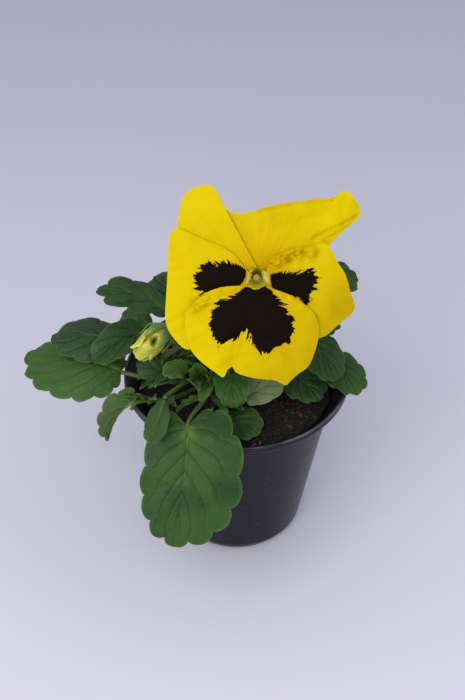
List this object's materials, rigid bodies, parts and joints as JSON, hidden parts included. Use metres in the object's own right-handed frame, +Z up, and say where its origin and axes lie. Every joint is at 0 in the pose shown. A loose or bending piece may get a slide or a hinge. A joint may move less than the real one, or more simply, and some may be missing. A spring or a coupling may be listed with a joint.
{
  "type": "potted pansy",
  "caption": "Pansy with a large yellow, dark-blotched flower, a half-open bud and scalloped leaves, growing in compost in a thin round dark nursery pot.",
  "frame": {"origin": "middle of the pot's foot, on the ground", "axes": "+Z up, -Y to the side that the flower and the largest leaf face, +X to the flower's right as seen from the front"},
  "size_m": [0.1591, 0.1457, 0.1874],
  "materials": {
    "pot": "satin thin moulded plastic, dark charcoal blue",
    "compost": "loose dark peat and bark, with reddish fibres",
    "crown": "green soft stem",
    "leaf_green": "satin leaf, mid to dark green with paler veins",
    "leaf_young": "satin young leaf, light green",
    "leaf_pale": "matte grey-green underside",
    "stem": "satin green stem",
    "petal": "velvety yellow petal with dark brown blotches",
    "pistil": "satin yellow-green",
    "bud": "velvety pale greenish yellow"
  },
  "bodies": {
    "root": {"pot": "pot", "compost": "compost", "crown": "crown", "leaf_front_large": "leaf_green", "leaf_left_outer": "leaf_green", "leaf_left_upper": "leaf_green", "leaf_left_folded": "leaf_green", "leaf_back_left_lobed": "leaf_green", "leaf_back_left_dark": "leaf_green", "leaf_young_light": "leaf_young", "leaf_back_right": "leaf_green", "leaf_right_front": "leaf_green", "leaf_right_outer": "leaf_green", "leaf_right_low": "leaf_green", "leaf_pale": "leaf_pale", "leaf_centre_curled": "leaf_green", "leaf_centre_round": "leaf_green", "leaf_young_curled": "leaf_young", "leaf_left_hanging": "leaf_young", "leaf_spatulate": "leaf_green", "leaf_back_low": "leaf_green", "leaf_back_middle": "leaf_green", "leaf_back_outer": "leaf_green", "leaf_right_back": "leaf_green", "leaf_small_cup": "leaf_young", "leaf_small_side": "leaf_young", "leaf_small_left": "leaf_young", "leaf_small_bud": "leaf_green", "flower_stem": "stem", "petal_upper_right": "petal", "petal_upper_left": "petal", "petal_side_left": "petal", "petal_side_right": "petal", "petal_lip": "petal", "pistil": "pistil", "bud_stem": "stem", "bud_petals": "bud"}
  },
  "joints": []
}
